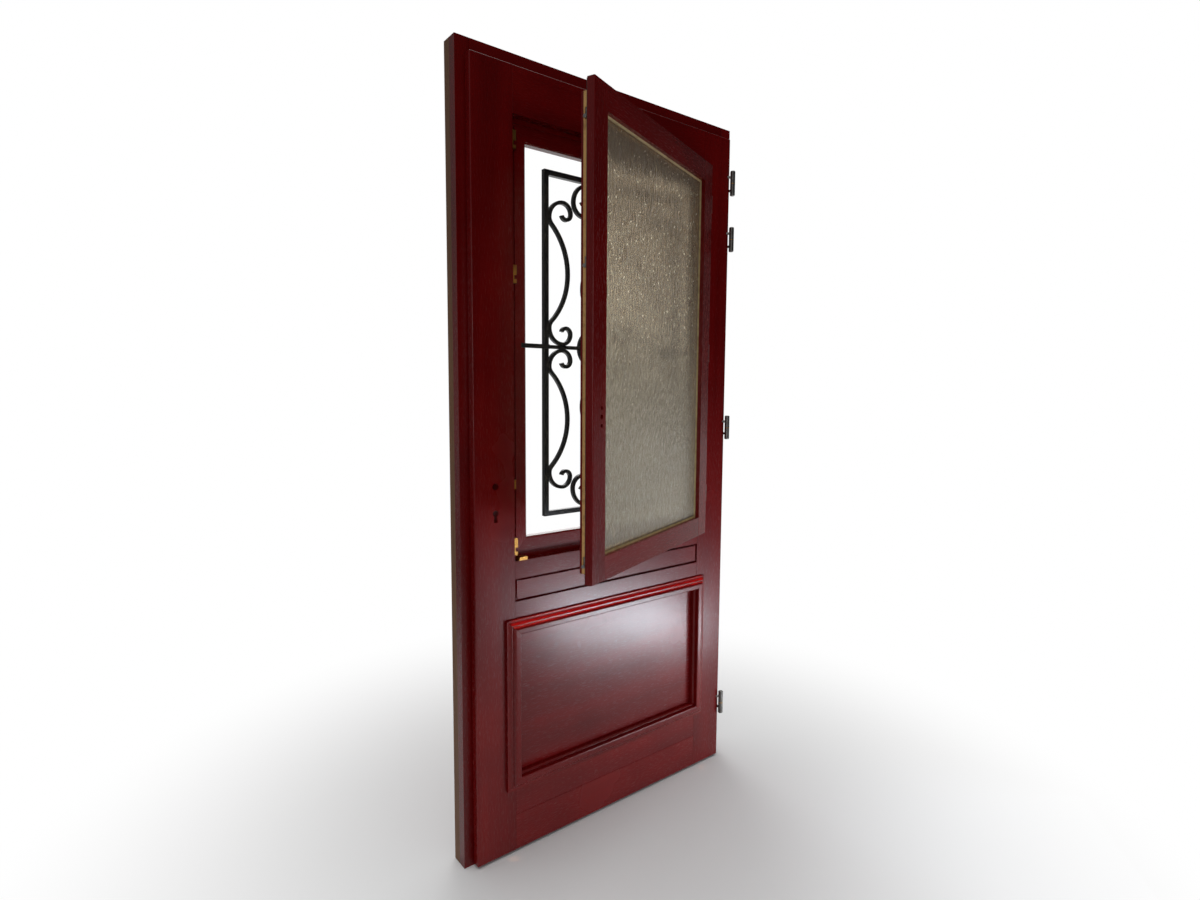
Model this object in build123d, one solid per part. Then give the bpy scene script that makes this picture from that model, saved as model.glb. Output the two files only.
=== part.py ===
from build123d import *
import math
import os

os.makedirs("parts", exist_ok=True)

# X runs along the door from the lock side to the hinge side as seen from inside.
# Y runs from the room to the outside and Z up, all in millimetres.
# The origin is the middle of the threshold's underside.

# Frame
frame_width = 996.0
frame_height = 2150.0
frame_depth = 56.0
side_reveal = 26.0          # frame face left visible beside the leaf
head_reveal = 40.0          # frame face left visible above the leaf
stop_lap = 15.0             # how far the frame's stop reaches behind the leaf
jamb_tenon = 12.0           # head let into each jamb

# Leaf
floor_gap = 6.0
lip_overlap = 18.0          # leaf lip beyond the leaf body
lip_thickness = 22.0
lip_gap = 5.0               # lip to the frame's inner face
rebate_gap = 4.0            # leaf body to the frame's rebate
back_gap = 3.0              # leaf body to the frame's stop
leaf_thickness = 56.0
stile_width = 120.0
top_rail_height = 119.0
light_height = 1161.0       # opening for the glazed casement
sill_rail_height = 48.0
strip_height = 64.0         # narrow fielded panel
panel_rail_height = 78.0
bottom_rail_height = 108.0
kick_board_height = 104.0   # lower board of the bottom rail
edge_radius = 3.0           # eased outer edge of the leaf
joint_bevel = 0.8           # bevelled joint between two boards

# Joinery inside the leaf
tenon_length = 60.0
tenon_thickness = 18.0
tenon_shoulder = 14.0
glue_gap = 0.2
groove_depth = 12.0
panel_entry = 10.0          # how far a panel enters its groove
panel_thickness = 20.0
panel_setback = 10.0         # leaf's face to the lower panel's face
strip_thickness = 46.0
strip_margin = 7.0          # dark groove round the narrow panel's field
strip_groove = 8.0
field_relief = 1.0          # field below the leaf's face

# Mouldings of the lower panel
moulding_lap = 30.0         # moulding over the stiles and rails
moulding_width = 44.0
moulding_rise = 20.0
outer_moulding_width = 41.0
outer_moulding_rise = 12.0

# Stop frame of the glazed opening
stop_width = 56.0
stop_setback = 28.0         # leaf face to the stop frame's front
stop_step = 12.0            # outer step that the keeps stand on
stop_groove = 9.0
stop_groove_depth = 3.0
stop_arris = 4.0

# Casement
casement_gap = 12.0         # casement body to the opening
casement_lap = 20.0         # casement lip beyond the casement body
casement_lip = 20.0
casement_lift = 3.0         # lip to the leaf's face
casement_thickness = 48.0
casement_face = 60.0        # visible width of the casement's members
casement_tenon = 24.0
casement_shoulder = 8.0
casement_tenon_thickness = 10.0
casement_open = 21.1        # degrees that the casement stands open
casement_radius = 3.0
glass_front = 16.0          # casement face to the glass
glass_edge_gap = 2.0
glass_rebate = 8.0
pane_thickness = 4.0
pane_space = 12.0
spacer_width = 7.0
bead_gap = 0.3

# Grille
grille_width = 466.0
grille_end_gap = 48.5        # stop frame's edge to the grille, above and below
grille_bar = 14.0
scroll_bar = 10.0
weld_depth = 1.0            # bars sunk into each other where they touch
grille_setback = 6.0        # stop frame's front to the grille's front
bow_reach = 81.0            # side bar to the middle of the side bow
bow_depth = 55.0
bow_rise = 131.5
shoulder_radius = 26.0      # where the bow turns back into its volute
volute_radii = (44.0, 28.0, 17.0)
volute_tip_radius = 14.0
volute_tip_turn = 75.0
ring_radius = 100.0
ring_height = 168.0
small_ring_radius = 50.0
heart_shoulder_radius = 53.0
heart_inner_radii = (36.0, 20.0, 19.0)
heart_tip_radius = 16.0
heart_tip_turn = 40.0
heart_top_reach = 80.0      # centre line to the heart scroll's top
lug_width = 12.0
lug_thickness = 5.0
lug_seat = 16.0             # lug over the stop frame
lug_gap = 0.3
grille_screw_radius = 2.5
grille_screw_length = 20.0

# Leaf hinges
hinge_radius = 8.0
hinge_half_length = 40.0
hinge_washer = 2.0
hinge_out = 5.0             # hinge axis beyond the leaf's edge
hinge_forward = 9.0         # hinge axis in front of the leaf's face
hinge_pin_radius = 4.5
running_gap = 0.05
stem_radius = 4.0
stem_depth = 32.0
seat_gap = 0.1
hinge_drops = (141.0, 321.0, 943.0)   # below the leaf's top
bottom_hinge_rise = 193.0   # above the leaf's foot

# Casement hinges
small_hinge_radius = 6.5
small_hinge_half = 29.0
small_hinge_out = 8.0
small_hinge_forward = 13.0
small_pin_radius = 3.5
small_stem_radius = 3.0
small_stem_depth = 24.0
small_hinge_drops = (228.0, 698.0)    # below the leaf's top
small_hinge_rise = 124.0    # lowest hinge above the opening's foot

# Mortise lock
backset = 45.0
lever_rise = 208.0          # sill rail's top to the lever
lever_hole_radius = 9.0
cylinder_spacing = 71.0
cylinder_radius = 8.5
cylinder_width = 10.0
cylinder_height = 33.0
lock_case_height = 165.0
lock_case_depth = 72.0
lock_case_thickness = 15.0
lock_pocket_gap = 0.5
lock_plate_height = 235.0
lock_plate_width = 20.0
lock_plate_thickness = 3.0
follower_radius = 11.0
lever_square = 8.0
latch_height = 30.0
latch_thickness = 11.0
latch_throw = 12.0
latch_length = 24.0
lever_turn = 40.0
bolt_height = 34.0
bolt_thickness = 12.0
bolt_throw = 20.0
bolt_length = 30.0
bolt_gap = 0.3
strike_height = 200.0
strike_width = 22.0
strike_thickness = 3.0
strike_pocket = 24.0

# Casement fastening
handle_drop = 882.0
handle_backset = 21.0
handle_hole_radius = 6.0
handle_screw_radius = 5.0
handle_screw_spacing = 43.0
gear_height = 96.0
gear_depth = 27.0
gear_thickness = 12.0
gear_hub_radius = 7.0
handle_square = 7.0
rod_width = 10.0
rod_thickness = 2.5
rod_travel = 18.0
handle_turn = 90.0
cam_radius = 4.5
cam_reach = 8.0
cam_drops = (190.0, 527.0)     # below the leaf's top
cam_rise = 32.0             # lowest cam above the opening's foot
plate_width = 16.0
plate_thickness = 2.5
keep_height = 46.0
keep_thickness = 10.0
keep_depth = 22.0
keep_above = 31.0           # keep's top above the cam
cam_gap = 1.0
wedge_height = 24.0
wedge_drop = 1071.0
corner_keep_width = 25.0
corner_keep_height = 9.0
corner_keep_depth = 20.0
corner_keep_inset = 15.0

# Threshold, seals and weather board
threshold_height = 20.0
threshold_wall = 3.0
seal_gap = 0.3
seal_width = 8.0
casement_seal_width = 5.0
casement_seal_inset = 2.0     # seal inside the casement lip's edge
weather_height = 70.0
weather_depth = 42.0
weather_top = 14.0
weather_side_gap = 12.0
drip_width = 5.0
drip_depth = 6.0

# Screws and fixings
screw_radius = 2.0
screw_length = 22.0
screw_head_radius = 4.0
screw_head_depth = 2.0
screw_margin = 10.0         # plate's end to the screw
fixing_radius = 4.0
fixing_low = 350.0          # lowest fixing above the jamb's foot
fixing_high = 100.0         # highest fixing below the jamb's top
fixing_count = 3

tiny = 1e-3

# Levels worked out from the sizes above
frame_half = frame_width / 2
leaf_half = frame_half - side_reveal
leaf_top = frame_height - head_reveal
frame_face = -frame_depth / 2
leaf_face = frame_face - lip_gap - lip_thickness
lip_back = leaf_face + lip_thickness
leaf_back = leaf_face + leaf_thickness
body_half = leaf_half - lip_overlap
body_top = leaf_top - lip_overlap
body_bottom = floor_gap + lip_overlap
rebate_half = body_half + rebate_gap
rebate_top = body_top + rebate_gap
stop_face = leaf_back + back_gap
light_half = leaf_half - stile_width
light_top = leaf_top - top_rail_height
light_bottom = light_top - light_height
light_middle = (light_top + light_bottom) / 2
strip_top = light_bottom - sill_rail_height
strip_bottom = strip_top - strip_height
lower_top = strip_bottom - panel_rail_height
kick_top = floor_gap + kick_board_height
lower_bottom = kick_top + bottom_rail_height
lower_opening_height = lower_top - lower_bottom
core_middle = (lip_back + leaf_back) / 2
leaf_middle = (leaf_face + leaf_back) / 2
panel_front = leaf_face + panel_setback
panel_back = panel_front + panel_thickness
cam_levels = [leaf_top - drop for drop in cam_drops] + [light_bottom + cam_rise]
small_hinge_levels = [leaf_top - drop for drop in small_hinge_drops]
small_hinge_levels.append(light_bottom + small_hinge_rise)
stop_front = leaf_face + stop_setback


def arris(part, axis, size, **place):
    """Bevel the edges along an axis that lie at the given coordinates."""
    edges = part.edges().filter_by(axis)
    for name, value in place.items():
        edges = edges.filter_by(lambda e: abs(getattr(e.center(), name) - value) < tiny)
    return chamfer(edges, size)


def block(x0, x1, y0, y1, z0, z1):
    """Box between two corners."""
    size = Box(abs(x1 - x0), abs(y1 - y0), abs(z1 - z0))
    return Pos((x0 + x1) / 2, (y0 + y1) / 2, (z0 + z1) / 2) * size


def rod(start, direction, radius, length):
    """Round bar from a start point along a direction."""
    place = Plane(origin=start, z_dir=direction)
    return extrude(place * Circle(radius), amount=length)


def rod_y(x, y0, y1, z, radius):
    """Round bar along Y."""
    return rod((x, y0, z), (0, 1, 0), radius, y1 - y0)


def rod_z(x, y, z0, z1, radius):
    """Round bar along Z."""
    return rod((x, y, z0), (0, 0, 1), radius, z1 - z0)


def section_z(points, z0, z1):
    """Section drawn in X and Y, carried upwards."""
    face = make_face(Polyline(*points, close=True))
    return Pos(0, 0, z0) * extrude(face, amount=z1 - z0)


def section_x(points, x0, x1):
    """Section drawn in Y and Z, carried along X."""
    place = Plane(origin=(x0, 0, 0), x_dir=(0, 1, 0), z_dir=(1, 0, 0))
    face = place * make_face(Polyline(*points, close=True))
    return extrude(face, amount=x1 - x0)


def ease(part, axis, radius, **place):
    """Round the edges along an axis that lie at the given coordinates."""
    edges = part.edges().filter_by(axis)
    for name, value in place.items():
        edges = edges.filter_by(lambda e: abs(getattr(e.center(), name) - value) < tiny)
    return fillet(edges, radius)


def mitred(section, width, height, middle):
    """Four mitred lengths of one section round a rectangle in the X and Z plane.

    The section is drawn with its outer edge at zero, running inwards along its
    own X, and with its depth along its own Y."""
    face = section.faces()[0] if hasattr(section, "faces") else section
    reach = face.bounding_box().max.X
    pieces = {}
    sides = (("top", 0, width, height), ("right", 90, height, width),
             ("bottom", 180, width, height), ("left", 270, height, width))
    for name, turn, length, across in sides:
        place = Plane(origin=(-length / 2, 0, 0), x_dir=(0, 0, -1), z_dir=(1, 0, 0))
        bar = extrude(place * section, amount=length)
        trapezoid = Plane.XZ * make_face(Polyline(
            (-length / 2, 0), (length / 2, 0),
            (length / 2 - reach, -reach), (-length / 2 + reach, -reach), close=True))
        bar = bar & extrude(trapezoid, amount=500, both=True)
        bar = Rot(0, turn, 0) * Pos(0, 0, across / 2) * bar
        pieces[name] = Pos(middle) * bar
    return pieces


def rectangle_ring(width, height, bar, y0, y1, middle_z):
    """Closed rectangular strip, its bar measured inwards."""
    outer = block(-width / 2, width / 2, y0, y1, -height / 2, height / 2)
    inner = block(-width / 2 + bar, width / 2 - bar, y0 - 1, y1 + 1,
                  -height / 2 + bar, height / 2 - bar)
    return Pos(0, 0, middle_z) * (outer - inner)


nodes = {}


# The fixed frame: two jambs, a head tenoned between them and planted stop laths
def frame_pieces():
    back = -frame_face
    stop_half = rebate_half - stop_lap
    stop_top = rebate_top - stop_lap
    jamb = block(rebate_half, frame_half, frame_face, back, 0, frame_height)
    head = block(-rebate_half, rebate_half, frame_face, back, rebate_top, frame_height)
    reach = rebate_half + jamb_tenon
    tenon_low = rebate_top + jamb_tenon
    tenon_high = frame_height - jamb_tenon
    tenon_y = back - jamb_tenon
    jamb -= block(-reach - glue_gap, reach + glue_gap, -tenon_y - glue_gap, tenon_y + glue_gap,
                  tenon_low - glue_gap, tenon_high + glue_gap)
    jamb = ease(jamb, Axis.Z, 2, X=rebate_half, Y=frame_face)
    head = ease(head, Axis.X, 2, Z=rebate_top, Y=frame_face)
    nodes["hinge_jamb"] = jamb
    nodes["lock_jamb"] = mirror(jamb, about=Plane.YZ)
    nodes["head_jamb"] = head + block(-reach, reach, -tenon_y, tenon_y, tenon_low, tenon_high)
    side = block(stop_half, rebate_half, stop_face, back, 0, stop_top)
    side = ease(side, Axis.Z, 2, X=stop_half, Y=back)
    across = block(-rebate_half, rebate_half, stop_face, back, stop_top, rebate_top)
    nodes["stop_laths"] = [side, mirror(side, about=Plane.YZ), across]


# Low aluminium threshold with the same stop behind the leaf
def threshold():
    back = -frame_face
    upstand = threshold_height + stop_lap
    outline = [(frame_face, 0), (back, 0), (back, threshold_height / 2),
               (stop_face + 2 * threshold_wall, upstand - threshold_wall),
               (stop_face + threshold_wall, upstand), (stop_face, upstand),
               (stop_face, threshold_height), (frame_face, threshold_height)]
    stop_half = rebate_half - stop_lap
    bar = section_x(outline, -stop_half, stop_half)
    ear = section_x([(frame_face, 0), (stop_face, 0), (stop_face, threshold_height),
                     (frame_face, threshold_height)], -rebate_half, rebate_half)
    bar += ear
    hollow_end = frame_half
    for y0, y1 in ((frame_face + threshold_wall, -threshold_wall),
                   (threshold_wall, stop_face + threshold_wall)):
        low, high = min(y0, y1), max(y0, y1)
        bar -= block(-hollow_end, hollow_end, low, high, threshold_wall,
                     threshold_height - threshold_wall)
    nodes["threshold"] = bar


# Leaf boards: stiles run full height, rails are tenoned between them
def lipped(part):
    """Cut the rebate that leaves the leaf's lip on all four sides."""
    far = leaf_back + 1
    part -= block(-leaf_half - 1, leaf_half + 1, lip_back, far, body_top, leaf_top + 1)
    part -= block(-leaf_half - 1, leaf_half + 1, lip_back, far, floor_gap - 1, body_bottom)
    for side in (-1, 1):
        part -= block(side * body_half, side * (leaf_half + 1), lip_back, far,
                      floor_gap - 1, leaf_top + 1)
    return part


def tenon(z0, z1, gap):
    reach = light_half + tenon_length + gap
    return block(-reach, reach, leaf_middle - tenon_thickness / 2 - gap,
                 leaf_middle + tenon_thickness / 2 + gap,
                 z0 + tenon_shoulder - gap, z1 - tenon_shoulder + gap)


def leaf_boards():
    rails = {
        "top_rail": (light_top, leaf_top),
        "sill_rail": (strip_top, light_bottom),
        "panel_rail": (lower_top, strip_bottom),
        "bottom_rail": (kick_top, lower_bottom),
        "kick_board": (floor_gap, kick_top),
    }
    stiles = {
        "lock_stile": block(-leaf_half, -light_half, leaf_face, leaf_back, floor_gap, leaf_top),
        "hinge_stile": block(light_half, leaf_half, leaf_face, leaf_back, floor_gap, leaf_top),
    }
    for name, (z0, z1) in rails.items():
        rail = block(-light_half, light_half, leaf_face, leaf_back, z0, z1)
        inner0 = max(z0, body_bottom)
        inner1 = min(z1, body_top)
        nodes[name] = lipped(rail) + tenon(inner0, inner1, 0)
        for stile in stiles:
            stiles[stile] -= tenon(inner0, inner1, glue_gap)
    for stile in stiles:
        nodes[stile] = lipped(stiles[stile])


def panel_grooves():
    """Grooves that hold the lower panel and the narrow panel."""
    tongue_front = leaf_middle - panel_thickness / 2
    tongue_back = leaf_middle + panel_thickness / 2
    deep = light_half + groove_depth
    for y0, y1, z0, z1 in ((panel_front, panel_back, lower_bottom, lower_top),
                           (tongue_front, tongue_back, strip_bottom, strip_top)):
        groove = block(-deep, deep, y0 - glue_gap, y1 + glue_gap,
                       z0 - groove_depth, z1 + groove_depth)
        span = block(-light_half, light_half, y0 - glue_gap, y1 + glue_gap,
                     z0 - groove_depth, z1 + groove_depth)
        for name in ("lock_stile", "hinge_stile"):
            nodes[name] -= groove
        for name in ("bottom_rail", "panel_rail", "sill_rail"):
            nodes[name] -= span
    entry = panel_entry
    nodes["lower_panel"] = block(-light_half - entry, light_half + entry,
                                 panel_front, panel_back,
                                 lower_bottom - entry, lower_top + entry)
    tongue = block(-light_half - entry, light_half + entry, tongue_front, tongue_back,
                   strip_bottom - entry, strip_top + entry)
    front = leaf_face + strip_groove
    body = block(-light_half, light_half, front, leaf_back - strip_groove,
                 strip_bottom, strip_top)
    field = block(-light_half + strip_margin, light_half - strip_margin,
                  leaf_face + field_relief, leaf_back - field_relief,
                  strip_bottom + strip_margin, strip_top - strip_margin)
    nodes["strip_panel"] = tongue + body + field


def round_leaf_edges():
    for name in ("top_rail", "sill_rail", "panel_rail", "bottom_rail", "kick_board"):
        for side in (-light_half, light_half):
            nodes[name] = arris(nodes[name], Axis.Z, joint_bevel, X=side, Y=leaf_face)
    for name in ("bottom_rail", "kick_board"):
        nodes[name] = arris(nodes[name], Axis.X, joint_bevel, Z=kick_top, Y=leaf_face)
    for side, name in ((-1, "lock_stile"), (1, "hinge_stile")):
        nodes[name] = ease(nodes[name], Axis.Z, edge_radius, X=side * leaf_half, Y=leaf_face)
        nodes[name] = ease(nodes[name], Axis.X, edge_radius, Z=leaf_top, Y=leaf_face)
        nodes[name] = ease(nodes[name], Axis.X, edge_radius, Z=floor_gap, Y=leaf_face)
    nodes["top_rail"] = ease(nodes["top_rail"], Axis.X, edge_radius, Z=leaf_top, Y=leaf_face)
    nodes["kick_board"] = ease(nodes["kick_board"], Axis.X, edge_radius, Z=floor_gap, Y=leaf_face)


# Bolection mouldings: outer quirk, cove, round crest, inner cove and bead
def inside_moulding_section():
    """Upright edge, cove, quirk, broad crest and a stepped fall to the panel."""
    rise = moulding_rise
    width = moulding_width
    quirk = rise * 0.66
    with BuildSketch() as sketch:
        with BuildLine():
            edge = Polyline((moulding_lap, 0), (0, 0), (0, -rise * 0.42))
            cove = RadiusArc(edge @ 1, (width * 0.28, -quirk), rise * 0.75)
            step = Polyline(cove @ 1, (width * 0.37, -quirk), (width * 0.37, -quirk - rise * 0.06))
            swell = RadiusArc(step @ 1, (width * 0.55, -rise), -rise * 0.45)
            crest = Polyline(swell @ 1, (width * 0.8, -rise))
            nose = RadiusArc(crest @ 1, (width * 0.87, -rise * 0.84), -rise * 0.18)
            drop = Polyline(nose @ 1, (width * 0.87, -rise * 0.3))
            bead = RadiusArc(drop @ 1, (width, 0), -rise * 0.33)
            Polyline(bead @ 1, (width, panel_setback), (moulding_lap + glue_gap, panel_setback),
                     (moulding_lap + glue_gap, 0), (moulding_lap, 0))
        make_face()
    return sketch.sketch


def outside_moulding_section():
    rise = outer_moulding_rise
    width = outer_moulding_width
    seat = leaf_back - panel_back
    with BuildSketch() as sketch:
        with BuildLine():
            start = Polyline((moulding_lap, 0), (0, 0), (0, rise * 0.4))
            cove = RadiusArc(start @ 1, (rise * 0.8, rise), rise * 0.9)
            top = Polyline(cove @ 1, (width * 0.6, rise))
            slope = RadiusArc(top @ 1, (width, -seat * 0.3), -width * 0.8)
            Polyline(slope @ 1, (width, -seat), (moulding_lap + glue_gap, -seat),
                     (moulding_lap + glue_gap, 0), (moulding_lap, 0))
        make_face()
    return sketch.sketch


def panel_mouldings():
    width = 2 * (light_half + moulding_lap)
    height = lower_opening_height + 2 * moulding_lap
    middle_z = (lower_top + lower_bottom) / 2
    for side, section, level in (("inside", inside_moulding_section(), leaf_face),
                                 ("outside", outside_moulding_section(), leaf_back)):
        for name, piece in mitred(section, width, height, (0, level, middle_z)).items():
            nodes[side + "_moulding_" + name] = piece


# Stop frame behind the casement, its opening clear to the outside
def stop_frame():
    depth = leaf_back - stop_front
    main = stop_step + stop_groove
    section = make_face(Polyline(
        (0, 0), (stop_step, 0), (stop_step, stop_groove_depth), (main, stop_groove_depth),
        (main, 0), (stop_width - stop_arris, 0), (stop_width, stop_arris),
        (stop_width, depth - stop_arris), (stop_width - stop_arris, depth), (0, depth),
        close=True))
    frame = mitred(section, 2 * light_half, light_height, (0, stop_front, light_middle))
    for name, piece in frame.items():
        nodes["stop_" + name] = piece


def mirrored(part):
    return part + mirror(part, about=Plane.YZ)


# Scroll bars are centre lines of tangent arcs traced to the bar's width
def scroll(start, heading, arcs):
    """Chain of tangent arcs, each given as a radius and a signed turn in degrees."""
    point = Vector(*start)
    direction = Vector(*heading)
    edges = []
    for radius, turn in arcs:
        edge = JernArc(start=point, tangent=direction, radius=radius, arc_size=turn)
        edges.append(edge)
        point = edge @ 1
        direction = edge % 1
    return Curve() + edges


def traced(line, width, thickness):
    """Flat bar of a given width that follows a line drawn in X and Z."""
    flat = trace(line, line_width=width)
    return extrude(Plane.XZ * flat, amount=-thickness)


def grille():
    half_width = grille_width / 2
    sight_height = light_height / 2 - stop_width
    half_height = sight_height - grille_end_gap
    inner = half_width - grille_bar
    outer_frame = block(-half_width, half_width, 0, grille_bar, -half_height, half_height)
    outer_frame -= block(-inner, inner, -1, grille_bar + 1,
                         -half_height + grille_bar, half_height - grille_bar)

    # Side bow with a volute at each end
    bow_radius = (bow_depth ** 2 + bow_rise ** 2) / (2 * bow_depth)
    bow_turn = math.degrees(math.asin(bow_rise / bow_radius))
    middle = bow_rise + shoulder_radius * math.sin(math.radians(bow_turn)) + volute_radii[0]
    bow_x = -half_width + bow_reach
    bow_z = middle + scroll_bar - weld_depth
    upper = [(bow_radius, bow_turn), (shoulder_radius, -bow_turn)]
    upper += [(radius, -90) for radius in volute_radii]
    upper += [(volute_tip_radius, -volute_tip_turn)]
    lower = [(radius, -turn) for radius, turn in upper]
    side = scroll((bow_x, bow_z), (0, 1), upper)
    side += scroll((bow_x, bow_z), (0, -1), lower)

    # Heart scroll from its tip to the top bar and down to the ring
    top = half_height - grille_bar - scroll_bar / 2 + weld_depth
    crown = (-heart_top_reach, top)
    tail = heart_top_reach - scroll_bar / 2
    heart = scroll(crown, (-1, 0), [(heart_shoulder_radius, 90)]
                   + [(radius, 90) for radius in heart_inner_radii]
                   + [(heart_tip_radius, heart_tip_turn)])
    heart += scroll(crown, (1, 0), [(tail, -90)])
    heart += Line((-scroll_bar / 2, top - tail), (-scroll_bar / 2, ring_height + ring_radius))

    unit = traced(side, scroll_bar, scroll_bar) + traced(heart, scroll_bar, scroll_bar)
    ring_y = scroll_bar / 2
    big_ring = Pos(0, ring_y, ring_height) * Rot(90, 0, 0) * (
        Cylinder(ring_radius + scroll_bar / 2, scroll_bar)
        - Cylinder(ring_radius - scroll_bar / 2, scroll_bar))
    ring_x = small_ring_radius + scroll_bar / 2 + grille_bar / 2 - weld_depth
    small_ring = Pos(-ring_x, ring_y, 0) * Rot(90, 0, 0) * (
        Cylinder(small_ring_radius + scroll_bar / 2, scroll_bar)
        - Cylinder(small_ring_radius - scroll_bar / 2, scroll_bar))
    upper_half = mirrored(unit) + big_ring
    post = ring_height - ring_radius
    middle_bar = block(-inner, -ring_x - small_ring_radius, 0, scroll_bar,
                       -scroll_bar / 2, scroll_bar / 2)
    body = outer_frame + upper_half + mirror(upper_half, about=Plane.XY)
    body += mirrored(small_ring + middle_bar)
    body += block(-grille_bar / 2, grille_bar / 2, 0, scroll_bar, -post, post)

    # Flat lugs welded on the front, let into the stop frame
    sight = light_half - stop_width
    for turn, start, seat in ((0, half_width, sight), (90, half_height, sight_height),
                              (180, half_width, sight), (270, half_height, sight_height)):
        lug = block(start - grille_bar, seat + lug_seat, -lug_thickness, 0,
                    -lug_width / 2, lug_width / 2)
        screw_at = seat + lug_seat / 2
        lug -= rod_y(screw_at, -lug_thickness - 1, 1, 0, grille_screw_radius + lug_gap)
        body += Rot(0, turn, 0) * lug
        pocket = block(seat - 1, seat + lug_seat + lug_gap, -grille_setback - 1, 0,
                       -lug_width / 2 - lug_gap, lug_width / 2 + lug_gap)
        shank = rod_y(screw_at, -1, grille_screw_length - lug_thickness, 0,
                      grille_screw_radius + seat_gap)
        name = {0: "right", 90: "bottom", 180: "left", 270: "top"}[turn]
        place = Pos(0, stop_front + grille_setback, light_middle) * Rot(0, turn, 0)
        nodes["stop_" + name] -= place * (pocket + shank)
        screw = rod_y(screw_at, -lug_thickness, grille_screw_length - lug_thickness, 0,
                      grille_screw_radius)
        head = rod_y(screw_at, -lug_thickness - seat_gap * 8, -lug_thickness, 0,
                     1.8 * grille_screw_radius)
        screws.append(place * (screw + head))
    nodes["grille"] = Pos(0, stop_front + grille_setback, light_middle) * body
    nodes["grille_screws"] = screws


screws = []


# Lift-off hinge: pin half below, bored half above, brass washer between
def hinge_half(radius, length, bore, stem_way, stem_radius_, stem_reach, up):
    """Barrel from z = 0 upwards (or downwards) with a threaded stem from its middle."""
    z0, z1 = (0, length) if up else (-length, 0)
    barrel = rod_z(0, 0, z0, z1, radius)
    end = z1 if up else z0
    barrel = fillet(barrel.edges().filter_by(GeomType.CIRCLE).filter_by(
        lambda e: abs(e.center().Z - end) < tiny), radius * 0.45)
    stem = rod((0, 0, (z0 + z1) / 2), stem_way, stem_radius_, stem_reach)
    barrel += stem
    if up:
        barrel -= rod_z(0, 0, -1, length * 0.8, bore)
    return barrel


def hinges():
    axis_x = leaf_half + hinge_out
    axis_y = leaf_face - hinge_forward
    reach = frame_face - axis_y + stem_depth
    slant = (-1, 1, 0)
    slant_reach = hinge_out * 2 + stem_depth
    washers = []
    pins = []
    halves = []
    levels = [leaf_top - drop for drop in hinge_drops] + [floor_gap + bottom_hinge_rise]
    for z in levels:
        place = Pos(axis_x, axis_y, z)
        lower = hinge_half(hinge_radius, hinge_half_length - hinge_washer, 0, (0, 1, 0),
                           stem_radius, reach, False)
        lower += rod_z(0, 0, 0, hinge_half_length * 0.75, hinge_pin_radius)
        upper = hinge_half(hinge_radius, hinge_half_length, hinge_pin_radius + running_gap,
                           slant, stem_radius, slant_reach, True)
        washer = rod_z(0, 0, -hinge_washer, 0, hinge_radius)
        lower_place = Pos(0, 0, -hinge_washer)
        lower = rod_z(0, 0, -hinge_washer - tiny, hinge_half_length * 0.7, hinge_pin_radius) + (
            lower_place * hinge_half(hinge_radius, hinge_half_length - hinge_washer, 0,
                                     (0, 1, 0), stem_radius, reach, False))
        washer -= rod_z(0, 0, -hinge_washer - 1, 1, hinge_pin_radius + seat_gap)
        pins.append(place * lower)
        halves.append(place * Pos(0, 0, seat_gap) * upper)
        washers.append(place * washer)
        low_z = -hinge_washer - (hinge_half_length - hinge_washer) / 2
        nodes["hinge_jamb"] -= place * rod((0, 0, low_z), (0, 1, 0),
                                           stem_radius + seat_gap, reach + seat_gap)
        nodes["hinge_stile"] -= place * rod((0, 0, seat_gap + hinge_half_length / 2), slant,
                                            stem_radius + seat_gap, slant_reach + seat_gap)
    nodes["hinge_washers"] = washers
    nodes["frame_hinge_halves"] = pins
    nodes["leaf_hinge_halves"] = halves



# Mortise lock, its plate, bolts and the strike in the jamb
def plate_screw(point, way, gap):
    """Flat-headed screw along a direction, or its hole when a gap is given."""
    screw = rod(point, way, screw_head_radius + gap, screw_head_depth + gap)
    return screw + rod(point, way, screw_radius + gap, screw_length + gap)


def euro_profile(x, z, gap):
    """Cylinder cut-out: a round part above a narrower straight part."""
    y0 = leaf_face - 1
    y1 = leaf_back + 1
    hole = rod_y(x, y0, y1, z, cylinder_radius + gap)
    drop = cylinder_height - cylinder_radius
    tail = block(x - cylinder_width / 2 - gap, x + cylinder_width / 2 + gap, y0, y1,
                 z - drop - gap, z)
    return hole + tail


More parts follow.
